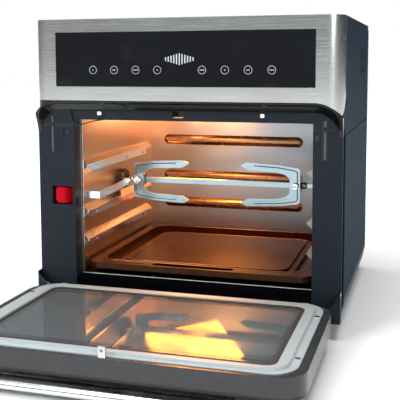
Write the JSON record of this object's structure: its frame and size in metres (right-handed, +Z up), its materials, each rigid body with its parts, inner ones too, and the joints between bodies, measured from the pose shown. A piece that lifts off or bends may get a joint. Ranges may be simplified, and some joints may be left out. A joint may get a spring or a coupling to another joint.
{
  "type": "rotisserie oven",
  "caption": "Countertop rotisserie oven with a drop-down door lying open, turning spit with two forks, drip tray, rack rails and a red spit release lever.",
  "frame": {"origin": "on the surface the oven stands on, in the middle of its width and of its depth with the door open", "axes": "+X to the right seen from the front, +Y towards the rear, +Z up"},
  "size_m": [0.36, 0.56, 0.35],
  "materials": {
    "front_plastic": "fine matte, dark blue-grey",
    "gloss_trim": "high gloss black",
    "fascia_steel": "horizontal brushed",
    "black_glass": "polished, back printed black",
    "circuit_board": "solder mask",
    "cover_paint": "fine matte, dark blue-grey",
    "rear_paint": "fine matte black",
    "foot_rubber": "matte",
    "cavity_steel": "satin, half mirror",
    "rail_steel": "bright, bent sheet",
    "heater_sheath": "heat-tinted oxide",
    "zinc_steel": "zinc plated",
    "screw_steel": "bright zinc",
    "fan_aluminium": "pressed sheet",
    "bulb_glass": "clear, lit filament",
    "lamp_cover_glass": "pressed clear glass",
    "mineral_wool": "fibrous blanket",
    "black_plastic": "satin black",
    "white_silicone": "matte white",
    "seal_silicone": "matte black",
    "door_plastic": "satin black",
    "door_glass": "tinted, polished",
    "inner_glass": "clear, slightly grey",
    "door_steel": "satin pressed sheet",
    "tray_enamel": "dark non-stick coating, half gloss",
    "spit_steel": "polished stainless",
    "red_plastic": "gloss red"
  },
  "bodies": {
    "oven": {"front_frame": "front_plastic", "recess_trim": "gloss_trim", "steel_fascia": "fascia_steel", "control_glass": "black_glass", "control_board": "circuit_board", "top_panel": "cover_paint", "upper_panel_left": "cover_paint", "upper_panel_right": "cover_paint", "side_panel_left": "cover_paint", "side_panel_right": "cover_paint", "rear_cover": "rear_paint", "base_pan": "rear_paint", "feet": "foot_rubber", "cavity_wall_left": "cavity_steel", "cavity_wall_right": "cavity_steel", "cavity_rear": "cavity_steel", "cavity_ceiling": "cavity_steel", "cavity_floor": "cavity_steel", "rack_rails_left": "rail_steel", "rack_rails_right": "rail_steel", "rail_rivets": "rail_steel", "heating_element": "heater_sheath", "fan_shroud": "zinc_steel", "fan_motor": "zinc_steel", "lamp_housing": "zinc_steel", "lamp_bulb": "bulb_glass", "lamp_glass": "lamp_cover_glass", "spit_motor": "zinc_steel", "insulation": "mineral_wool", "temperature_probe": "zinc_steel", "cord_gland": "black_plastic", "latch_catch": "gloss_trim", "door_bumpers": "white_silicone", "door_switch": "gloss_trim", "hinge_brackets": "zinc_steel", "hinge_pins": "zinc_steel", "panel_screws": "screw_steel", "release_guide": "zinc_steel", "release_spring": "zinc_steel"},
    "door": {"door_frame": "door_plastic", "door_outer_glass": "door_glass", "door_inner_panel": "door_steel", "door_inner_glass": "inner_glass", "door_seal": "seal_silicone", "door_grip": "fascia_steel", "grip_posts": "black_plastic", "door_strike": "zinc_steel", "hinge_lugs": "zinc_steel", "door_screws": "screw_steel"},
    "tray": {"drip_tray": "tray_enamel"},
    "spit": {"spit_rod": "spit_steel"},
    "fork_l": {"fork_left": "spit_steel"},
    "fork_r": {"fork_right": "spit_steel"},
    "screw_l": {"clamp_screw_left": "screw_steel"},
    "screw_r": {"clamp_screw_right": "screw_steel"},
    "drive": {"drive_socket": "black_plastic"},
    "release": {"release_lever": "red_plastic", "release_arm": "rail_steel", "spit_cup": "black_plastic"},
    "fan": {"fan_rotor": "fan_aluminium"}
  },
  "joints": [
    {"name": "door_hinge", "type": "hinge", "parent": "oven", "child": "door", "pos_m": [0, -0.054, 0.033], "axis": [1, 0, 0], "range_deg": [-90, 0]},
    {"name": "tray_slide", "type": "slide", "parent": "oven", "child": "tray", "axis": [0, -1, 0], "range_m": [0, 0.2]},
    {"name": "spit_spin", "type": "hinge", "parent": "oven", "child": "spit", "pos_m": [0, 0.0977, 0.1442], "axis": [1, 0, 0], "continuous": true},
    {"name": "drive_spin", "type": "hinge", "parent": "oven", "child": "drive", "pos_m": [0, 0.0977, 0.1442], "axis": [1, 0, 0], "continuous": true},
    {"name": "fork_left_slide", "type": "slide", "parent": "spit", "child": "fork_l", "axis": [1, 0, 0], "range_m": [0, 0.03]},
    {"name": "fork_right_slide", "type": "slide", "parent": "spit", "child": "fork_r", "axis": [-1, 0, 0], "range_m": [0, 0.03]},
    {"name": "clamp_screw_left_turn", "type": "hinge", "parent": "fork_l", "child": "screw_l", "pos_m": [-0.105, 0.0877, 0.1442], "axis": [0, -1, 0], "range_deg": [0, 720]},
    {"name": "clamp_screw_right_turn", "type": "hinge", "parent": "fork_r", "child": "screw_r", "pos_m": [0.1065, 0.0877, 0.1442], "axis": [0, -1, 0], "range_deg": [0, 720]},
    {"name": "release_slide", "type": "slide", "parent": "oven", "child": "release", "axis": [-1, 0, 0], "range_m": [0, 0.004], "stiffness_N_per_m": 400, "springref_m": -0.006},
    {"name": "fan_spin", "type": "hinge", "parent": "oven", "child": "fan", "pos_m": [0.007, 0.097, 0.27], "axis": [0, 0, 1], "continuous": true}
  ],
  "couplings": [
    {"joint": "drive_spin", "follows": "spit_spin", "ratio": 1}
  ]
}
